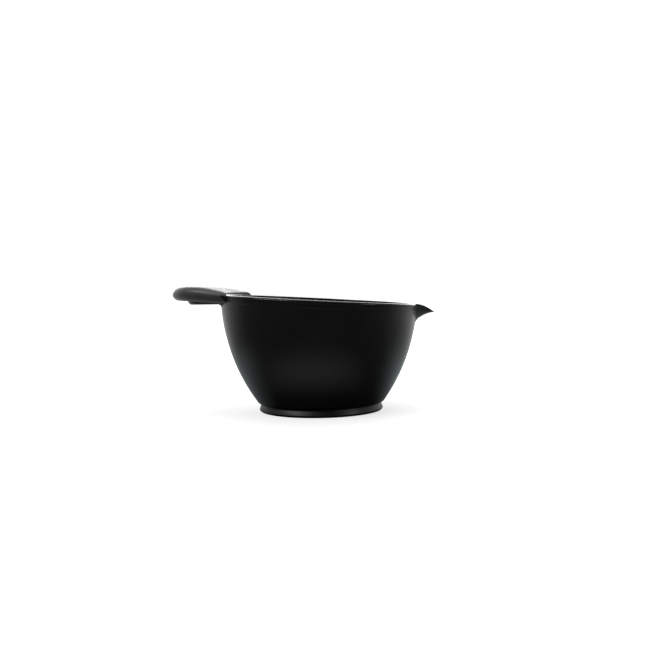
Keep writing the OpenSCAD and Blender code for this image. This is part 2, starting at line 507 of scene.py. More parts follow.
    def outer_r(self, angle: float, z: np.ndarray, top: float) -> np.ndarray:
        """Radius of the outside: wall, collar and lip, joined by the beak's underside.

        Args:
            angle: The column's angle about the bowl's axis.
            z: Heights to look at.
            top: Height of the rim's top there.

        Returns:
            The radii.
        """
        depth = top - z
        soft = 2 * self.collar_soft
        step = np.clip((self.collar_low + self.collar_soft - depth) / soft, 0, 1)
        band = self.wall_at(z) + self.collar_out * step * step * (3 - 2 * step)
        bulge = np.sqrt(np.maximum(self.lip_r**2 - (depth - self.lip_r) ** 2, 0))
        lip = np.where(depth < 2 * self.lip_r, self.rim_r - self.lip_r + bulge, 0)
        plain = np.where(depth < self.lip_r, lip, smooth_max(band, lip, self.lip_blend))
        if abs(angle) > self.beak_sector:
            return plain
        rounded = np.maximum(self.beak_round - depth, 0)
        back = self.beak_round - np.sqrt(self.beak_round**2 - rounded**2)
        beak = self.trough_r(angle, z, 0) - self.beak_round_share * back
        return smooth_max(plain, beak, self.beak_blend)

    def inner_r_at(
        self, angle: float, z: np.ndarray, top: float, outer: np.ndarray
    ) -> np.ndarray:
        """Radius of the inside: wall and rounded edge, joined by the beak's channel.

        Args:
            angle: The column's angle about the bowl's axis.
            z: Heights to look at.
            top: Height of the rim's top there.
            outer: Radius of the outside at the same heights.

        Returns:
            The radii.
        """
        plain = self.wall_at(z, self.wall)
        if abs(angle) < self.beak_sector:
            plain = smooth_max(plain, self.trough_r(angle, z, 1), self.beak_blend)
            plain = np.minimum(plain, outer - self.beak_tip_skin)
        room = float(outer.min() - plain.max())
        limit = min(self.inner_round, self.edge_share * room + self.edge_least)
        rounded = np.clip(limit - (top - z), 0, limit)
        return plain + limit - np.sqrt(limit**2 - rounded**2)

    def column(self, angle: float) -> np.ndarray:
        """The bowl's whole profile at one angle.

        Args:
            angle: Angle about the axis, 0 towards the beak.

        Returns:
            Stations from the middle of the floor, over the rim, to the middle underneath.
        """
        edge_r, top = self.edge(angle)
        start = self.rim_z(self.rim_r * math.cos(angle)) - self.band
        scale = (top - start) / self.band
        outer_z = top - self.outer_depths() * scale
        outer = self.outer_r(angle, outer_z, top)
        round_rows, wall_rows = self.inner_rows
        inner_depths = np.concatenate([
            self.inner_round * (1 - np.cos(np.radians(np.linspace(0, 90, round_rows)))),
            np.linspace(1.0, self.band, wall_rows),
        ])
        inner_z = top - inner_depths * scale
        outside_here = np.interp(inner_z, outer_z, np.maximum.accumulate(outer))
        outside_here = np.maximum(outside_here, edge_r - self.lip_r)
        inner = self.inner_r_at(angle, inner_z, top, outside_here)
        low_z = np.linspace(start, self.base_z + self.base_round, self.low_rows)[1:]
        inner_low_z = np.linspace(start, self.meet_z, self.inner_low_rows)[1:]
        middle = (self.corner_x, self.corner_z)
        corner = arc(middle, self.corner_r, self.meet_turn, -90, self.corner_rows)[1:]
        parts = [
            [(self.corner_x * share, self.floor_z) for share in self.flat_rings],
            corner[::-1],
            np.column_stack([self.wall_at(inner_low_z, self.wall), inner_low_z])[::-1],
            np.column_stack([inner, inner_z])[::-1],
            np.column_stack([outer, outer_z])[::-1],
            np.column_stack([self.wall_at(low_z), low_z]),
            self.underside(),
        ]
        return np.vstack(parts)

    def underside(self) -> np.ndarray:
        """Profile below the wall: rounded corner, foot and the recess inside it."""
        turn = (self.base_r - self.base_round, self.base_z + self.base_round)
        return np.vstack([
            arc(turn, self.base_round, -15, -90, 5),
            [
                [self.foot_r + self.foot_root, self.base_z],
                [self.foot_r, self.base_z - self.foot_root],
                [self.foot_r, self.foot_low + self.foot_edge],
                [self.foot_r - self.foot_edge, self.foot_low],
                [self.foot_in + self.foot_edge, self.foot_low],
                [self.foot_in, self.foot_low + self.foot_edge],
                [self.foot_in, self.recess_z - self.recess_edge],
                [self.foot_in - self.recess_edge, self.recess_z],
                [self.foot_in * 0.6, self.recess_z],
                [self.foot_in * 0.25, self.recess_z],
                [0, self.recess_z],
            ],
        ])

    def turn_of(self, spun_angle: float) -> float:
        """Angle of a column, gathered towards the beak where the shape is finest."""
        return spun_angle - self.gather * math.sin(spun_angle)

    def build(self) -> Piece:
        """Spins the profile and reshapes its columns.

        Returns:
            The finished bowl.
        """
        line = self.column(math.pi / 2)
        piece = spun("bowl_shell", line, self.columns)
        reshape_columns(piece, line, self.columns, self.turn_of, self.column)
        smooth_faces(piece, self.sharp_from)
        return piece

    def plug(self, gap: float, lip_stand: float) -> Piece:
        """Everything inside the bowl's outside, as a tool to fit the handle to it.

        Args:
            gap: How far the tool stands out of the bowl.
            lip_stand: Radius of the tool above the middle of the lip.

        Returns:
            A closed solid.
        """

        def column(angle: float) -> np.ndarray:
            """The tool's profile at one angle, level with the rim there."""
            top = float(self.rim_z(self.rim_r * math.cos(angle)))
            z = top - self.outer_depths()
            outer = self.outer_r(math.pi, z, top) + gap
            outer = np.where(top - z < self.lip_r, np.maximum(outer, lip_stand), outer)
            low, high = z[0] - 1, top + self.plug_rise
            side = np.column_stack([outer, z])
            return np.vstack([[[0, low], [outer[0], low]], side, [[lip_stand, high], [0, high]]])

        line = column(math.pi / 2)
        piece = spun("plug", line, self.plug_columns)
        reshape_columns(piece, line, self.plug_columns, lambda angle: angle, column)
        return piece


# ---------------------------------------------------------------- the handle


@dataclass
class HandleForm:
    """The handle's outer form: half of a rounded pad with a bullnose edge and an arched top."""

    bowl: BowlShell
    reach: float = 31.7
    half_w: float = 35.5
    root_in: float = 5.2
    root_t: float = 7.0
    tip_t: float = 5.1
    root_step: float = 2.2
    arch_rise: float = 3.2
    arch_fall: float = 2.4
    crest: float = 0.62
    crown: float = 0.7
    nose_r: float = 3.4
    power: float = 2.3
    ease: float = 3.0
    seam_low: float = 1.5
    seam_high: float = 4.3
    seam_under_rim: float = 0.8
    seam_past: float = 5.0
    seam_below: float = 3.0
    inmost: float = -0.1
    nose_rows: int = 19
    low_rows: int = 15
    top_rows: int = 25
    around: int = 150

    def __post_init__(self) -> None:
        """Works out where the handle starts, crosses the rim and ends."""
        rim_r = self.bowl.rim_r
        self.root_x = -math.sqrt(rim_r**2 - self.half_w**2)
        self.start_x = -math.sqrt((rim_r - self.root_in) ** 2 - self.half_w**2)
        self.tip_x = -(rim_r + self.reach)
        self.root_top = float(self.bowl.rim_z(self.root_x)) + self.root_step

    def along(self, x: np.ndarray, y: np.ndarray) -> np.ndarray:
        """How far out a point is, 0 at the rim and 1 at the tip."""
        return np.maximum((np.hypot(x, y) - self.bowl.rim_r) / self.reach, self.inmost)

    def arch(self, s: np.ndarray) -> np.ndarray:
        """Rise of the top above its root."""
        inner = self.arch_rise * (1 - (1 - s / self.crest) ** 2)
        outer = self.arch_rise - self.arch_fall * ((s - self.crest) / (1 - self.crest)) ** 2
        return np.where(s < self.crest, inner, outer)

    def top(self, x: np.ndarray, y: np.ndarray) -> np.ndarray:
        """Height of the top."""
        s = self.along(x, y)
        ease = np.clip(s * self.ease, 0, 1)
        return self.root_top + self.arch(s) + self.crown * ease * (1 - (y / self.half_w) ** 2)

    def low(self, x: np.ndarray, y: np.ndarray) -> np.ndarray:
        """Height of the underside."""
        rise = float(self.arch(np.array(1.0))) + self.root_t - self.tip_t
        return self.root_top - self.root_t + rise * self.along(x, y)

    def outline(self, inset: float) -> np.ndarray:
        """Outline seen from above, from one root corner to the other.

        Args:
            inset: How far it is set in from the edge.

        Returns:
            Rows of x and y.
        """
        turns = np.radians(90 + 180 * np.linspace(0, 1, self.around + 1))
        long = self.start_x - self.tip_x - inset
        wide = self.half_w - inset
        x = self.start_x - long * np.abs(np.cos(turns)) ** (2 / self.power)
        y = np.sign(np.sin(turns)) * wide * np.abs(np.sin(turns)) ** (2 / self.power)
        return np.column_stack([x, y])

    def solid(self, name: str) -> Piece:
        """The whole form, which starts inside the bowl.

        Args:
            name: Name of the new piece.

        Returns:
            A closed solid.
        """
        nose = np.radians(np.linspace(-90, 90, self.nose_rows))
        low_insets = np.linspace(self.half_w, self.nose_r, self.low_rows + 1)[:-1]
        top_insets = np.linspace(self.nose_r, self.half_w, self.top_rows + 1)[1:]
        stations = np.vstack([
            np.column_stack([low_insets, np.zeros(self.low_rows)]),
            np.column_stack([self.nose_r * (1 - np.cos(nose)), (1 + np.sin(nose)) / 2]),
            np.column_stack([top_insets, np.ones(self.top_rows)]),
        ])
        rows = []
        for inset, high in stations:
            x, y = self.outline(inset).T
            z = self.low(x, y) * (1 - high) + self.top(x, y) * high
            rows.append(np.column_stack([x, y, z]))
        return skinned(name, np.array(rows))

    def seam_tool(self, gap: float) -> Piece:
        """The bowl's side of the slanting seam at the handle's root corners.

        Args:
            gap: How far the tool reaches past the seam.

        Returns:
            A closed solid.
        """
        low = (self.root_x + self.seam_low, self.root_top - self.root_t)
        high_x = self.root_x - self.seam_high
        high = (high_x, float(self.bowl.rim_z(high_x)) - self.seam_under_rim)
        lean = (low[0] - high[0]) / (high[1] - low[1])
        end_x = self.start_x + self.seam_past
        end_z = float(self.bowl.rim_z(end_x)) - self.seam_under_rim
        floor_z = low[1] - self.seam_below
        corners = {
            (-1, 1): (high[0] - gap, high[1] + gap),
            (-1, -1): (low[0] + lean * self.seam_below - gap, floor_z),
            (1, 1): (end_x, end_z + gap),
            (1, -1): (end_x, floor_z),
        }
        pick()
        bpy.ops.mesh.primitive_cube_add(size=2)
        piece = bpy.context.object
        places = vertex_places(piece)
        for place in places:
            x, z = corners[(int(np.sign(place[0])), int(np.sign(place[2])))]
            place[:] = (x * MM, np.sign(place[1]) * self.bowl.rim_r * MM, z * MM)
        move_vertices(piece, places)
        return piece


@dataclass
class HandleCore:
    """What the bowl's own plastic shows of the lug: the pad underneath and the two shoulders."""

    form: HandleForm
    pad_inset: float = 9.4
    pad_drop: float = 6.0
    pad_round: float = 2.4
    fillet: float = 2.6
    root_r: float = 61.1
    bore_r: float = 61.0
    bore_depth: float = 60.0
    bore_sides: int = 256
    hidden_step: float = 0.6
    turn_share: float = 0.45
    fillet_share: float = 0.5
    end_room: float = 0.4
    columns: int = 96
    pad_sharp_from: float = 50.0
    corner_sharp_from: float = 35.0

    def __post_init__(self) -> None:
        """Works out the pad's heights."""
        bowl = self.form.bowl
        inside_x = -(bowl.rim_r - bowl.wall - bowl.lip_out)
        self.pad_z = float(bowl.rim_z(inside_x)) - self.pad_drop
        self.pad_top = self.form.root_top - self.form.root_step - self.hidden_step

    def pad_edge(self, angle: float, grow: float) -> float:
        """Distance from the bowl's axis to the pad's outline.

        Args:
            angle: Angle from the handle's middle.
            grow: How much larger than the real pad the outline is.

        Returns:
            The distance.
        """
        form = self.form
        long = form.start_x - form.tip_x - self.pad_inset + grow
        wide = form.half_w - self.pad_inset + grow

        def inside(reach: float) -> bool:
            """Whether a distance is inside the outline."""
            x, y = -reach * math.cos(angle), reach * math.sin(angle)
            return ((form.start_x - x) / long) ** form.power + abs(y / wide) ** form.power < 1

        return halved(self.root_r, -form.tip_x, inside)

    def pad_reach(self, wall: float, grow: float) -> float:
        """Angle from the handle's middle at which the pad's outline runs into the wall."""
        widest = math.asin((self.form.half_w - self.pad_inset + grow) / self.root_r)
        clear = wall + self.end_room
        return halved(0.0, widest, lambda angle: self.pad_edge(angle, grow) > clear)

    def pad(self, name: str, grow: float, top: float) -> Piece:
        """The bare pad under the handle, with a round edge and a fillet to the wall.

        Args:
            name: Name of the new piece.
            grow: How much larger than the real pad it is, all round.
            top: Height of its hidden top.

        Returns:
            A closed solid that starts inside the bowl's wall.
        """
        wall = float(self.form.bowl.wall_at(np.array(self.pad_z - self.fillet)))
        reach = self.pad_reach(wall, grow)
        rows = []
        for angle in np.linspace(-reach, reach, self.columns + 1):
            edge = self.pad_edge(angle, grow)
            room = edge - wall
            turn = min(self.pad_round, room * self.turn_share)
            fillet = min(self.fillet, room * self.fillet_share)
            low = self.pad_z - grow
            section = np.vstack([
                [[self.root_r, top], [edge, top]],
                arc((edge - turn, low + turn), turn, 0, -90, 9),
                arc((wall + fillet, low - fillet), fillet, 90, 180, 9),
                [[self.root_r, low - fillet], [self.root_r, top]],
            ])
            out, high = section.T
            rows.append(np.column_stack([-out * math.cos(angle), out * math.sin(angle), high]))
        return skinned(name, np.array(rows))

    def shoulders(self) -> Piece:
        """The handle's root corners, moulded with the bowl and faired into its wall.

        Returns:
            One piece with both corners.
        """
        piece = self.form.solid("handle_shoulders")
        combine(piece, self.form.seam_tool(0), Solve.KEEP_COMMON)
        pick()
        bpy.ops.mesh.primitive_cylinder_add(
            vertices=self.bore_sides, radius=self.bore_r * MM, depth=self.bore_depth * MM,
            location=(0, 0, self.form.root_top * MM),
        )
        bore = bpy.context.object
        bpy.ops.object.transform_apply(location=True, rotation=False, scale=False)
        combine(piece, bore, Solve.CUT)
        close_up(piece)
        smooth_faces(piece, self.corner_sharp_from)
        return piece

    def build(self) -> list[Piece]:
        """Builds the pad and the shoulders.

        Returns:
            The two pieces.
        """
        pad = self.pad("handle_pad", 0, self.pad_top)
        smooth_faces(pad, self.pad_sharp_from)
        return [pad, self.shoulders()]


@dataclass
class HandleGrip:
    """The soft grip moulded over the lug, with rounded ends and an opening for the pad."""

    core: HandleCore
    gap: float = 0.05
    pad_gap: float = 0.35
    skin_over_pad: float = 3.0
    lip_stand: float = 62.2
    voxel: float = 0.4
    smoothing: int = 5
    settling: int = 3
    smooth_share: float = 0.5
    near_form: float = 0.05
    off_form: float = 0.22
    sharp_from: float = 60.0

    def build(self) -> Piece:
        """Fits the form to the bowl, opens it for the pad and softens its edges.

        Returns:
            The finished grip.
        """
        form = self.core.form
        piece = form.solid("soft_grip")
        combine(piece, form.bowl.plug(self.gap, self.lip_stand), Solve.CUT)
        combine(piece, form.seam_tool(self.gap), Solve.CUT)
        opening_top = form.root_top - self.skin_over_pad
        combine(piece, self.core.pad("opening", self.pad_gap, opening_top), Solve.CUT)
        voxel = self.voxel * MM
        apply_modifier(piece, "REMESH", mode="VOXEL", voxel_size=voxel, use_smooth_shade=True)
        apply_modifier(piece, "SMOOTH", factor=self.smooth_share, iterations=self.smoothing)
        self.true_up(piece)
        apply_modifier(piece, "SMOOTH", factor=self.smooth_share, iterations=self.settling)
        smooth_faces(piece, self.sharp_from)
        return piece

    def true_up(self, piece: Piece) -> None:
        """Moves the vertices of the broad faces back onto the exact form.

        Args:
            piece: The remeshed grip.
        """
        form = self.core.form
        places = vertex_places(piece)
        x, y, z = places.T / MM
        for height in (form.top(x, y), form.low(x, y)):
            share = (self.off_form - np.abs(z - height)) / (self.off_form - self.near_form)
            places[:, 2] += (height - z) * np.clip(share, 0, 1) * MM
        move_vertices(piece, places)


# ---------------------------------------------------------------- the base ring


@dataclass
class BaseRing:
    """The rubber ring pressed over the foot."""

    outer_r: float = 39.3
    height: float = 5.0
    lean: float = 1.4
    widest_z: float = 1.4
    chamfer: float = 0.8
    low_side: float = 0.9
    skin_r: float = 36.25
    tread: float = 1.4
    foot_in: float = 33.45
    lip_low: float = 3.5
    lip_high: float = 3.8
    open_r: float = 32.1
    open_edge: float = 0.5
    edge_round: float = 0.22
    round_share: float = 0.4
    columns: int = 224
    sharp_from: float = 40.0

    def corners(self) -> list[tuple[float, float]]:
        """Corners of the ring's section, from its outer foot round to the same place."""
        return [
            (self.outer_r - self.chamfer, 0.0),
            (self.outer_r, self.low_side),
            (self.outer_r, self.widest_z),
            (self.outer_r - self.lean, self.height),
            (self.skin_r, self.height),
            (self.skin_r, self.tread),
            (self.foot_in, self.tread),
            (self.foot_in, self.lip_high),
            (self.open_r, self.lip_low),
            (self.open_r, self.open_edge),
            (self.open_r + self.open_edge, 0.0),
        ]

    def rounded(self) -> np.ndarray:
        """The section with each corner rounded.

        Returns:
            Stations of the closed section.
        """
        line = np.array(self.corners())
        stations = []
        befores, afters = np.roll(line, 1, axis=0), np.roll(line, -1, axis=0)
        for before, corner, after in zip(befores, line, afters):
            back, on = before - corner, after - corner
            back_long, on_long = np.linalg.norm(back), np.linalg.norm(on)
            near = min(self.edge_round, self.round_share * back_long, self.round_share * on_long)
            start = corner + back / back_long * near
            end = corner + on / on_long * near
            for t in (0, 0.25, 0.5, 0.75, 1):
                stations.append((1 - t) ** 2 * start + 2 * t * (1 - t) * corner + t**2 * end)
        return np.array(stations + [stations[0]])

    def build(self) -> Piece:
        """Spins the ring's section.

        Returns:
            The finished ring.
        """
        piece = spun("rubber_ring", self.rounded(), self.columns)
        smooth_faces(piece, self.sharp_from)
        return piece


# ---------------------------------------------------------------- finishes


def add_node(tree: Tree, kind: str, **inputs: object) -> bpy.types.Node:
    """Adds a shader node and sets its inputs.

    Args:
        tree: Where the node goes.
        kind: Its type without the "ShaderNode" in front.
        **inputs: Values or sockets for its inputs, with _ for a space in a name.

    Returns:
        The node.
    """
    node = tree.nodes.new("ShaderNode" + kind)
    for key, value in inputs.items():
        connect(tree, value, node.inputs[key.replace("_", " ")])
    return node


def connect(tree: Tree, value: object, socket: Socket) -> None:
    """Links a socket to an input, or sets the input to a plain value."""
    if isinstance(value, Socket):
        tree.links.new(value, socket)
    else:
        socket.default_value = value


def ramp(
    tree: Tree, value: object, start: object, end: object, low: float = 0.0, high: float = 1.0
) -> Socket:
    """Adds a Map Range node, which holds its end values outside the range.

    Args:
        tree: Where the node goes.
        value: The value or socket to map.
        start: Where the range starts.
        end: Where it ends.
        low: The result at its start.
        high: The result at its end.

    Returns:
        Its output.
    """
    node = add_node(
        tree, "MapRange", Value=value, From_Min=start, From_Max=end, To_Min=low, To_Max=high
    )
    return node.outputs[0]


def vector(tree: Tree, operation: str, a: object, b: object = (0.0, 0.0, 0.0)) -> Socket:
    """Adds a Vector Math node.

    Args:
        tree: Where the node goes.
        operation: Blender's name for what it does.
        a: First vector or socket.
        b: Second vector or socket.

    Returns:
        Its value for an operation that gives a number, otherwise its vector.
    """
    node = tree.nodes.new("ShaderNodeVectorMath")
    node.operation = operation
    connect(tree, a, node.inputs[0])
    connect(tree, b, node.inputs[1])
    gives_number = operation in ("LENGTH", "DISTANCE", "DOT_PRODUCT")
    return node.outputs["Value" if gives_number else "Vector"]


def calculate(tree: Tree, operation: str, a: object, b: object = 0.0) -> Socket:
    """Adds a Math node.

    Args:
        tree: Where the node goes.
        operation: Blender's name for what it does.
        a: First value or socket.
        b: Second value or socket.

    Returns:
        Its output.
    """
    node = tree.nodes.new("ShaderNodeMath")
    node.operation = operation
    connect(tree, a, node.inputs[0])
    connect(tree, b, node.inputs[1])
    return node.outputs[0]


def mixed(tree: Tree, share: object, a: object, b: object) -> Socket:
    """Mixes two colours.

    Args:
        tree: Where the node goes.
        share: How much of the second colour shows.
        a: First colour or socket.
        b: Second colour or socket.

    Returns:
        The mixed colour.
    """
    node = tree.nodes.new("ShaderNodeMix")
    node.data_type = "RGBA"
    connect(tree, share, node.inputs[0])
    connect(tree, a, node.inputs[6])
    connect(tree, b, node.inputs[7])
    return node.outputs[2]


def group_of(
    name: str, inputs: dict[str, float], outputs: list[str]
) -> tuple[Tree, bpy.types.Node, bpy.types.Node]:
    """Starts a shader node group.

    Args:
        name: Name of the group.
        inputs: Its inputs and what they hold at first.
        outputs: Its outputs, all of them values.

    Returns:
        The group, its input node and its output node.
    """
    tree = bpy.data.node_groups.new(name, "ShaderNodeTree")
    kind = "NodeSocketFloat"
    for key, value in inputs.items():
        tree.interface.new_socket(key, in_out="INPUT", socket_type=kind).default_value = value
    for key in outputs:
        tree.interface.new_socket(key, in_out="OUTPUT", socket_type=kind)
    return tree, tree.nodes.new("NodeGroupInput"), tree.nodes.new("NodeGroupOutput")


def moulded_grain() -> Tree:
    """Fine grain of a spark-eroded mould, with slow waves under it.

    Returns:
        A group with the outputs Height and Cloud.
    """
    inputs = {"Grain Scale": 2500.0, "Wave Scale": 60.0, "Wave Share": 0.3}
    tree, given, result = group_of("moulded_grain", inputs, ["Height", "Cloud"])
    place = add_node(tree, "TexCoord").outputs["Object"]
    ask = given.outputs
    grain = add_node(tree, "TexNoise", Vector=place, Scale=ask["Grain Scale"], Detail=2.0)
    wave = add_node(tree, "TexNoise", Vector=place, Scale=ask["Wave Scale"], Detail=3.0).outputs[0]
    waves = calculate(tree, "MULTIPLY", wave, ask["Wave Share"])
    tree.links.new(calculate(tree, "ADD", grain.outputs[0], waves), result.inputs["Height"])
    tree.links.new(ramp(tree, wave, 0.35, 0.65), result.inputs["Cloud"])
    return tree


RUB_TURNS = ((0.4, 0.2, 0.9), (1.3, -0.5, 2.2), (2.1, 0.7, -0.6))


def handling_marks() -> Tree:
    """Hair-fine rub marks that run in the directions of RUB_TURNS, in scattered patches.

    Returns:
        A group with the output Mark, 0 on the clean surface and 1 in a mark.
    """
    inputs = {"Scale": 38.0, "Stretch": 26.0, "Width": 0.02, "Patch Scale": 38.0, "Amount": 0.5}
    tree, given, result = group_of("handling_marks", inputs, ["Mark"])
    place = add_node(tree, "TexCoord").outputs["Object"]
    ask = given.outputs
    long = add_node(tree, "CombineXYZ", X=1.0, Y=ask["Stretch"], Z=ask["Stretch"]).outputs[0]
    marks = 0.0
    for turn in RUB_TURNS:
        turned = add_node(tree, "Mapping", Vector=place, Rotation=turn).outputs[0]
        drawn = vector(tree, "MULTIPLY", turned, long)
        line = add_node(tree, "TexNoise", Vector=drawn, Scale=ask["Scale"], Detail=0.0)
        off = calculate(tree, "ABSOLUTE", calculate(tree, "SUBTRACT", line.outputs["Fac"], 0.5))
        marks = calculate(tree, "MAXIMUM", ramp(tree, off, 0.0, ask["Width"], 1.0, 0.0), marks)
    patch = add_node(tree, "TexNoise", Vector=place, Scale=ask["Patch Scale"], Detail=2.0)
    kept = calculate(tree, "MULTIPLY", marks, ramp(tree, patch.outputs["Fac"], 0.45, 0.62))
    tree.links.new(calculate(tree, "MULTIPLY", kept, ask["Amount"]), result.inputs["Mark"])
    return tree


@dataclass(frozen=True)
class Finish:
    """A moulded surface: its colour, gloss, grain and handling marks."""

    name: str
    colour: tuple[float, float, float]
    cloud_colour: tuple[float, float, float]
    mark_colour: tuple[float, float, float]
    roughness: float
    roughness_spread: float
    mark_roughness: float
    specular: float
    grain_scale: float
    wave_scale: float
    wave_share: float
    grain_depth: float
    marks: float
    sheen: float = 0.0
    sheen_roughness: float = 0.4
    lip_polish: float = 0.0
    polish_from: float = 1.3
    polish_full: float = 0.6

    def polished_lip(self, tree: Tree, rim: BowlShell) -> Socket:
        """How much smoother the surface is where wiping has polished the rim's lip.

        Args:
            tree: Where the nodes go.
            rim: The bowl, for its sloping rim.

        Returns:
            What to take off the roughness.
        """
        place = add_node(tree, "SeparateXYZ", Vector=add_node(tree, "TexCoord").outputs["Object"])
        level = calculate(tree, "MULTIPLY_ADD", place.outputs["X"], rim.slope)
        connect(tree, place.outputs["Z"], level.node.inputs[2])
        low, high = (rim.height - self.polish_from) * MM, (rim.height - self.polish_full) * MM
        return calculate(tree, "MULTIPLY", ramp(tree, level, low, high), self.lip_polish)

    def dress(self, pieces: list[Piece], groups: dict[str, Tree]) -> None:
        """Builds the material and puts it on pieces.

        Args:
            pieces: The objects to dress.
            groups: The shared node groups by name.
        """
        material = bpy.data.materials.new(self.name)
        material.use_nodes = True
        tree = material.node_tree
        surface = tree.nodes["Principled BSDF"]
        surface.inputs["Specular IOR Level"].default_value = self.specular
        surface.inputs["Sheen Weight"].default_value = self.sheen
        surface.inputs["Sheen Roughness"].default_value = self.sheen_roughness
        grain, marks = tree.nodes.new("ShaderNodeGroup"), tree.nodes.new("ShaderNodeGroup")
        grain.node_tree, marks.node_tree = groups["moulded_grain"], groups["handling_marks"]
        for node, name, value in (
            (grain, "Grain Scale", self.grain_scale),
            (grain, "Wave Scale", self.wave_scale),
            (grain, "Wave Share", self.wave_share),
            (marks, "Amount", self.marks),
        ):
            node.inputs[name].default_value = value
        cloud, depth = grain.outputs["Cloud"], self.grain_depth * MM
        clouded = mixed(tree, cloud, (*self.colour, 1), (*self.cloud_colour, 1))
        marked = mixed(tree, marks.outputs["Mark"], clouded, (*self.mark_colour, 1))
        tree.links.new(marked, surface.inputs["Base Color"])
        spread = calculate(tree, "MULTIPLY", cloud, self.roughness_spread)
        rough = calculate(tree, "ADD", spread, self.roughness)
        if self.lip_polish:
            rough = calculate(tree, "SUBTRACT", rough, self.polished_lip(tree, BowlShell()))
        rubbed = calculate(tree, "MULTIPLY", marks.outputs["Mark"], self.mark_roughness)
        tree.links.new(calculate(tree, "ADD", rough, rubbed), surface.inputs["Roughness"])
        bump = add_node(tree, "Bump", Height=grain.outputs["Height"], Distance=depth)
        tree.links.new(bump.outputs[0], surface.inputs["Normal"])
        for piece in pieces:
            piece.data.materials.clear()
            piece.data.materials.append(material)


SATIN_PLASTIC = Finish(
    name="satin_black_plastic",
    colour=(0.0042, 0.0037, 0.0040),
    cloud_colour=(0.0052, 0.0047, 0.0051),
    mark_colour=(0.020, 0.020, 0.021),
    roughness=0.28,
    roughness_spread=0.05,
    mark_roughness=0.12,
    specular=0.44,
    grain_scale=2600.0,
    wave_scale=55.0,
    wave_share=0.5,
    grain_depth=0.012,
    marks=0.25,
    lip_polish=0.17,
)
SOFT_RUBBER = Finish(
    name="soft_touch_rubber",
    colour=(0.027, 0.026, 0.028),
    cloud_colour=(0.036, 0.035, 0.037),
    mark_colour=(0.065, 0.065, 0.067),
    roughness=0.40,
    roughness_spread=0.08,
    mark_roughness=-0.10,
    specular=0.85,
    grain_scale=1800.0,
    wave_scale=90.0,
    wave_share=0.35,
    grain_depth=0.03,
    marks=0.2,
    sheen=0.5,
)
RING_RUBBER = Finish(
    name="base_ring_rubber",
    colour=(0.0034, 0.0032, 0.0033),
    cloud_colour=(0.0050, 0.0048, 0.0049),
    mark_colour=(0.020, 0.0195, 0.019),
    roughness=0.37,
    roughness_spread=0.08,
    mark_roughness=0.1,
    specular=0.5,
    grain_scale=1500.0,
    wave_scale=110.0,
    wave_share=0.4,
    grain_depth=0.03,
    marks=0.35,
)


# ---------------------------------------------------------------- studio and camera


@dataclass
class Lamp:
    """One soft box, aimed at the bowl."""

    name: str
    place: tuple[float, float, float]
    size: tuple[float, float]
    power: float

    def build(self, aim: Vector) -> None:
        """Adds the lamp to the scene.

        Args:
            aim: The point that it faces.
        """
        light = bpy.data.lights.new(self.name, "AREA")
        light.shape = "RECTANGLE"
        light.size, light.size_y = self.size
        light.energy = self.power
        lamp = bpy.data.objects.new(self.name, light)
        lamp.location = self.place
        lamp.rotation_euler = (aim - Vector(self.place)).to_track_quat("-Z", "Y").to_euler()
        bpy.context.scene.collection.objects.link(lamp)


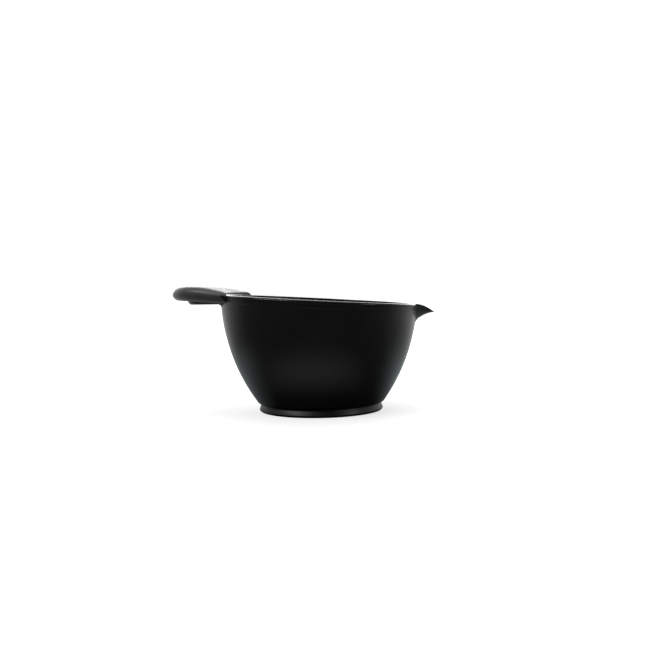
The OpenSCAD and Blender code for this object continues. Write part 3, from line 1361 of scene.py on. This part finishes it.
@dataclass
class Studio:
    """A white sweep lit by soft boxes, with the dark of the room in front of the bowl.

    The camera sees the floor and the surroundings white all over. Reflections see them too, but
    fading into the room on the photographer's side, with painted reflections that glow only for
    reflections: a strip on the floor in front, two spots beside the bowl and a cool tint near it.
    """

    floor_size: float = 40.0
    paper_seen: float = 0.55
    paper_bounce: float = 0.25
    paper_mirrored: float = 0.05
    near_glow: float = 0.66
    glow_from: float = 0.16
    glow_to: float = 0.60
    mirror_from: float = 0.045
    mirror_to: float = 0.105
    # The front_ values shape a painted reflection: a strip of floor in front that glows only in
    # reflections.
    front_share: float = 0.50
    front_from: float = 0.05
    front_full: float = 0.075
    front_fade: float = 0.085
    front_end: float = 0.125
    front_side: float = -0.55
    # Painted reflections: spots of floor beside the bowl that glow only in reflections, as x, y and
    # brightness.
    painted_reflection_spots: tuple[tuple[float, float, float], ...] = (
        (-0.105, 0.03, 0.5),
        (0.095, 0.07, 0.7),
    )
    spot_from: float = 0.035
    spot_to: float = 0.10
    # Painted reflection tint: a cool colour on the floor near the bowl, seen only in reflections.
    painted_cool_reflection: tuple[float, float, float] = (0.84, 0.98, 1.0)
    tint_from: float = 0.09
    tint_to: float = 0.24
    world_fill: float = 0.34
    room_dark: float = 0.05
    room_from: float = -0.30
    room_to: float = 1.0
    room_curve: float = 1.25
    sweep_side: tuple[float, float, float] = (0.04, 1.0, 0.0)
    sky_share: float = 0.08
    sky_from: float = 0.25
    sky_to: float = 0.9
    aim_z: float = 0.045
    lamps: tuple[Lamp, ...] = (
        Lamp("key_box", (-0.70, -0.60, 0.70), (0.80, 0.22), 4.0),
        Lamp("right_box", (0.95, -0.40, 0.42), (0.30, 0.35), 1.2),
        Lamp("top_box", (0.0, 0.10, 1.0), (0.8, 0.6), 4.0),
        Lamp("back_box", (0.0, 0.95, 0.50), (1.20, 0.50), 5.5),
    )

    def seen(self, tree: Tree, share: Socket) -> Socket:
        """How strongly a ray sees the white of the studio.

        Args:
            tree: Where the nodes go.
            share: How much of it a reflection sees there.

        Returns:
            1 for the camera and through clear pieces, the share in a reflection, 0 for other light.
        """
        path = add_node(tree, "LightPath")
        mirrored = calculate(tree, "MULTIPLY", path.outputs["Is Glossy Ray"], share)
        direct = calculate(
            tree, "MAXIMUM", path.outputs["Is Camera Ray"], path.outputs["Is Transmission Ray"]
        )
        return calculate(tree, "MAXIMUM", direct, mirrored)

    def room_share(self, tree: Tree, place: Socket) -> Socket:
        """How white the studio is in a direction, from the dark room to the sweep behind.

        Args:
            tree: Where the nodes go.
            place: The direction, of any length.

        Returns:
            The brightness.
        """
        side = vector(tree, "DOT_PRODUCT", vector(tree, "NORMALIZE", place), self.sweep_side)
        rise = ramp(tree, side, self.room_from, self.room_to)
        lit = calculate(tree, "POWER", rise, self.room_curve)
        return calculate(tree, "MAXIMUM", lit, self.room_dark)

    def painted_ground_reflection(self, tree: Tree, spot: Socket, away: Socket, ahead: Socket) -> Socket:
        """How much the floor glows in reflections, with the painted strip in front and painted
        spots beside the bowl.

        Args:
            tree: Where the nodes go.
            spot: The place on the floor.
            away: Its distance from the bowl's axis.
            ahead: How far it is on the photographer's side, from 0 to 1.

        Returns:
            The brightness.
        """
        far = ramp(tree, away, self.mirror_from, self.mirror_to)
        # Painted reflection: a strip of floor in front of the bowl glows only for reflections.
        near = ramp(tree, away, self.front_from, self.front_full, 0.0, self.front_share)
        fade = ramp(tree, away, self.front_fade, self.front_end, 1.0, 0.0)
        behind = calculate(tree, "MULTIPLY", self.room_share(tree, spot), far)
        painted_strip = calculate(tree, "MULTIPLY", calculate(tree, "MULTIPLY", near, fade), ahead)
        share = calculate(tree, "MAXIMUM", behind, painted_strip)
        # Painted reflections: glowing spots on the floor beside the bowl, seen only in reflections.
        for x, y, height in self.painted_reflection_spots:
            reach = vector(tree, "DISTANCE", spot, (x, y, 0.0))
            patch = ramp(tree, reach, self.spot_from, self.spot_to, height, 0.0)
            share = calculate(tree, "MAXIMUM", share, patch)
        return share

    def floor(self) -> None:
        """Lays the pale floor, which keeps the bowl's shadow and glows with painted reflections
        near the bowl.
        """
        pick()
        bpy.ops.mesh.primitive_plane_add(size=self.floor_size)
        floor = bpy.context.object
        floor.name = "paper_floor"
        material = bpy.data.materials.new("white_paper")
        material.use_nodes = True
        tree = material.node_tree
        surface = tree.nodes["Principled BSDF"]
        path = add_node(tree, "LightPath").outputs
        seen = calculate(tree, "MULTIPLY", path["Is Camera Ray"], self.paper_seen)
        bounced = calculate(tree, "MULTIPLY", path["Is Diffuse Ray"], self.paper_bounce)
        paper = calculate(tree, "MAXIMUM", seen, bounced)
        paper = calculate(tree, "MAXIMUM", paper, self.paper_mirrored)
        tree.links.new(paper, surface.inputs["Base Color"])
        surface.inputs["Roughness"].default_value = 1.0
        surface.inputs["Specular IOR Level"].default_value = 0.0
        spot = add_node(tree, "TexCoord").outputs["Object"]
        away = vector(tree, "LENGTH", spot)
        toward = add_node(tree, "SeparateXYZ", Vector=spot).outputs["Y"]
        ahead = ramp(tree, calculate(tree, "DIVIDE", toward, away), self.front_side, -1.0)
        share = self.painted_ground_reflection(tree, spot, away, ahead)
        glow = ramp(tree, away, self.glow_from, self.glow_to, self.near_glow, 1.0)
        strength = calculate(tree, "MULTIPLY", self.seen(tree, share), glow)
        tree.links.new(strength, surface.inputs["Emission Strength"])
        # Painted reflection tint: the floor near the bowl glows cool, but only for reflections.
        close = ramp(tree, away, self.tint_from, self.tint_to, 1.0, 0.0)
        beside = calculate(tree, "SUBTRACT", 1.0, ahead)
        painted_cool = calculate(tree, "MULTIPLY", close, beside)
        painted_cool = calculate(tree, "MULTIPLY", painted_cool, path["Is Glossy Ray"])
        painted_tint = mixed(tree, painted_cool, (1.0, 1.0, 1.0, 1.0), (*self.painted_cool_reflection, 1.0))
        tree.links.new(painted_tint, surface.inputs["Emission Color"])
        floor.data.materials.append(material)

    def world(self) -> None:
        """Sets the white surroundings that the camera and reflections see."""
        world = bpy.data.worlds.new("white_sweep")
        bpy.context.scene.world = world
        world.use_nodes = True
        tree = world.node_tree
        sky = tree.nodes["Background"]
        sky.inputs["Color"].default_value = (1, 1, 1, 1)
        way = add_node(tree, "TexCoord").outputs["Generated"]
        height = add_node(tree, "SeparateXYZ", Vector=way).outputs["Z"]
        above = ramp(tree, height, self.sky_from, self.sky_to)
        overhead = calculate(tree, "MULTIPLY", above, self.sky_share)
        share = calculate(tree, "MAXIMUM", self.room_share(tree, way), overhead)
        seen = self.seen(tree, share)
        scattered = add_node(tree, "LightPath").outputs["Is Diffuse Ray"]
        fill = calculate(tree, "MULTIPLY", scattered, self.world_fill)
        tree.links.new(calculate(tree, "MAXIMUM", seen, fill), sky.inputs["Strength"])

    def build(self) -> None:
        """Builds the floor, the surroundings and the lamps."""
        self.floor()
        self.world()
        middle = Vector((0, 0, self.aim_z))
        for lamp in self.lamps:
            lamp.build(middle)


@dataclass
class PhotoCamera:
    """The camera that took the photograph."""

    frame_px: int = 645
    focal_px: float = 783.2
    sensor: float = 36.0
    place: tuple[float, float, float] = (0.0653, -0.4957, 0.0724)
    pan: float = 7.29
    dip: float = 1.95
    roll: float = -1.16

    def build(self) -> bpy.types.Object:
        """Adds the camera and makes it the scene's own.

        Returns:
            The camera.
        """
        camera = bpy.data.objects.new("photo_camera", bpy.data.cameras.new("photo_camera"))
        bpy.context.scene.collection.objects.link(camera)
        camera.data.sensor_fit = "AUTO"
        camera.data.sensor_width = self.sensor
        camera.data.lens = self.focal_px * self.sensor / self.frame_px
        camera.matrix_world = (
            Matrix.Translation(self.place)
            @ Matrix.Rotation(math.radians(self.pan), 4, "Z")
            @ Matrix.Rotation(math.radians(90 - self.dip), 4, "X")
            @ Matrix.Rotation(math.radians(self.roll), 4, "Z")
        )
        bpy.context.scene.camera = camera
        return camera


# ---------------------------------------------------------------- image points


@dataclass
class PhotoPoints:
    """Where features show in the photograph's frame of 645 by 645 pixels."""

    frame_px: int = 645
    object_left: float = 173.0
    object_right: float = 433.9
    object_top: float = 287.0
    object_bottom: float = 417.5
    beak_tip: tuple[float, float] = (433.9, 311.3)
    beak_root_below: tuple[float, float] = (416.2, 320.5)
    grip_far_corner: tuple[float, float] = (252.5, 293.0)
    pad_end: tuple[float, float] = (188.0, 302.0)
    seam_near: tuple[float, float] = (221.0, 297.0)
    ring_left: tuple[float, float] = (259.9, 410.0)
    ring_right: tuple[float, float] = (382.9, 406.5)
    sight_slack: float = 0.0004
    row_px: float = 0.5

    def seen_at(self, camera: bpy.types.Object, piece: Piece) -> np.ndarray:
        """Pixels at which the camera sees a piece's vertices, without those that are hidden.

        Args:
            camera: The scene's camera.
            piece: A finished piece.

        Returns:
            Rows of x and y in the photograph's frame, of all vertices where none shows.
        """
        places = vertex_places(piece)
        axes = np.array(camera.matrix_world.inverted())
        local = places @ axes[:3, :3].T + axes[:3, 3]
        focal = camera.data.lens / camera.data.sensor_width * self.frame_px
        middle = self.frame_px / 2
        pixels = np.column_stack([
            middle - focal * local[:, 0] / local[:, 2],
            middle + focal * local[:, 1] / local[:, 2],
        ])
        scene = bpy.context.scene
        graph = bpy.context.evaluated_depsgraph_get()
        eye = camera.matrix_world.translation
        shows = []
        for place in places:
            ray = Vector(place) - eye
            reach = ray.length - self.sight_slack
            hit = scene.ray_cast(graph, eye, ray.normalized(), distance=reach)
            shows.append(not hit[0])
        in_view = np.array(shows)
        return pixels[in_view] if in_view.any() else pixels

    def report(
        self, camera: bpy.types.Object, pieces: dict[str, Piece]
    ) -> dict[str, list[float]]:
        """How far each feature shows from its point.

        Args:
            camera: The scene's camera.
            pieces: The finished pieces by name.

        Returns:
            The distance in x and in y of each point, in pixels.
        """
        shown = {name: self.seen_at(camera, piece) for name, piece in pieces.items()}
        everything = np.vstack(list(shown.values()))
        shell, ring, grip = shown["bowl_shell"], shown["rubber_ring"], shown["soft_grip"]
        pad, seam = shown["handle_pad"], shown["handle_shoulders"]
        off_root = np.abs(shell[:, 1] - self.beak_root_below[1])
        at_root = shell[off_root <= max(self.row_px, off_root.min())]
        found = {
            "beak_tip": shell[np.argmax(shell[:, 0])],
            "grip_far_corner": grip[np.argmax(grip[:, 0])],
            "pad_end": pad[np.argmin(pad[:, 0])],
            "seam_near": seam[np.argmin(seam[:, 0])],
            "ring_left": ring[np.argmin(ring[:, 0])],
            "ring_right": ring[np.argmax(ring[:, 0])],
            "beak_root_below": at_root[np.argmax(at_root[:, 0])],
        }
        moved = {name: list(place - getattr(self, name)) for name, place in found.items()}
        return moved | {
            "object_left": [everything[:, 0].min() - self.object_left, 0.0],
            "object_right": [everything[:, 0].max() - self.object_right, 0.0],
            "object_top": [0.0, everything[:, 1].min() - self.object_top],
            "object_bottom": [0.0, everything[:, 1].max() - self.object_bottom],
        }


# ---------------------------------------------------------------- the whole object


@dataclass
class TintBowl:
    """The bowl with its handle, grip and ring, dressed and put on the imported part."""

    def build(self) -> dict[str, Piece]:
        """Builds every piece and gives it its finish and body.

        Returns:
            The finished pieces by name.
        """
        groups = {"moulded_grain": moulded_grain(), "handling_marks": handling_marks()}
        bowl = BowlShell()
        form = HandleForm(bowl)
        core = HandleCore(form)
        hard = [bowl.build(), *core.build()]
        grip = HandleGrip(core).build()
        ring = BaseRing().build()
        SATIN_PLASTIC.dress(hard, groups)
        SOFT_RUBBER.dress([grip], groups)
        RING_RUBBER.dress([ring], groups)
        for piece in hard:
            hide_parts("bowl")
            self.mount(piece, Slot.BOWL)
        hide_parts("handle_grip")
        self.mount(grip, Slot.GRIP)
        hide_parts("base_ring")
        self.mount(ring, Slot.RING)
        return {piece.name: piece for piece in [*hard, grip, ring]}

    @staticmethod
    def mount(piece: Piece, slot: Slot) -> None:
        """Rides a piece on the part's one body and logs its counts of vertices and faces.

        Args:
            piece: The finished piece.
            slot: Its slot in the record; not used.
        """
        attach(piece, "root")
        vertices, faces = len(piece.data.vertices), len(piece.data.polygons)
        LOG.info("%s: %d vertices, %d faces", piece.name, vertices, faces)


def main() -> None:
    """Builds the object, the studio and the camera, and works out how far the image points lie off.
    """
    logging.basicConfig(level=logging.INFO, format="%(name)s: %(message)s")
    bpy.context.scene.view_settings.view_transform = "Standard"
    camera = PhotoCamera().build()
    Studio().build()
    pieces = TintBowl().build()
    bpy.context.view_layer.update()
    PhotoPoints().report(camera, pieces)


if __name__ == "__main__":
    main()
